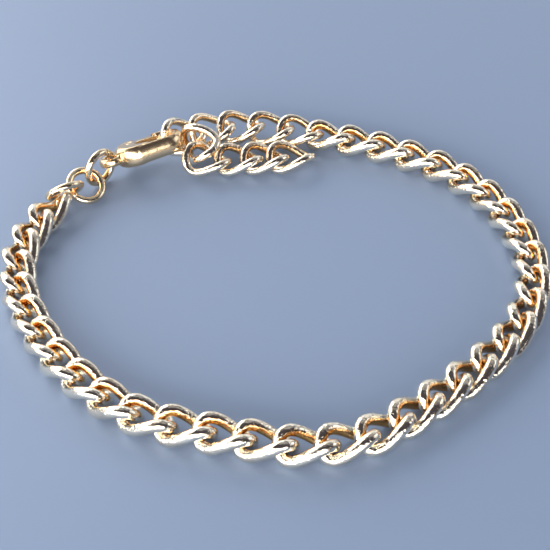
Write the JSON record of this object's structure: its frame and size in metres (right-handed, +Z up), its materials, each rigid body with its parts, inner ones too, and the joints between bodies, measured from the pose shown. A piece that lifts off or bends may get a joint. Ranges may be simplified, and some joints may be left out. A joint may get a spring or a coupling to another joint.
{
  "type": "link bracelet",
  "caption": "Closed curb-link bracelet of pale gold metal, fastened by a lobster clasp with a sprung lever to an extender chain with a loose tail.",
  "frame": {"origin": "middle of the bracelet's outline, on the flat surface it lies on", "axes": "+Z up, away from the surface; +X to the right for a viewer at the front; +Y away from that viewer, towards the side with the clasp and the extender"},
  "size_m": [0.0698, 0.0656, 0.0057],
  "materials": {
    "chain_gold": "polished gold plate",
    "ring_gold": "polished gold plate",
    "clasp_gold": "polished gold plate, lightly worn",
    "extender_gold": "polished gold plate"
  },
  "bodies": {
    "bracelet": {"curb_link_1": "chain_gold", "curb_link_2": "chain_gold", "curb_link_3": "chain_gold", "curb_link_4": "chain_gold", "curb_link_5": "chain_gold", "curb_link_6": "chain_gold", "curb_link_7": "chain_gold", "curb_link_8": "chain_gold", "curb_link_9": "chain_gold", "curb_link_10": "chain_gold", "curb_link_11": "chain_gold", "curb_link_12": "chain_gold", "curb_link_13": "chain_gold", "curb_link_14": "chain_gold", "curb_link_15": "chain_gold", "curb_link_16": "chain_gold", "curb_link_17": "chain_gold", "curb_link_18": "chain_gold", "curb_link_19": "chain_gold", "curb_link_20": "chain_gold", "curb_link_21": "chain_gold", "curb_link_22": "chain_gold", "curb_link_23": "chain_gold", "curb_link_24": "chain_gold", "curb_link_25": "chain_gold", "curb_link_26": "chain_gold", "curb_link_27": "chain_gold", "curb_link_28": "chain_gold", "curb_link_29": "chain_gold", "curb_link_30": "chain_gold", "curb_link_31": "chain_gold", "curb_link_32": "chain_gold", "curb_link_33": "chain_gold", "curb_link_34": "chain_gold", "jump_ring_1": "ring_gold", "jump_ring_2": "ring_gold", "jump_ring_3": "ring_gold", "clasp_body": "clasp_gold", "clasp_pin": "clasp_gold", "extender_row": "extender_gold", "extender_tail": "extender_gold"},
    "lever": {"clasp_lever": "clasp_gold"}
  },
  "joints": [
    {"name": "lever_hinge", "type": "hinge", "parent": "bracelet", "child": "lever", "pos_m": [-0.02012, 0.02324, 0.00268], "axis": [0.2354, -0.3162, -0.919], "range_deg": [0, 20], "stiffness_Nm_per_rad": 0.0001, "springref_deg": -11.46}
  ]
}
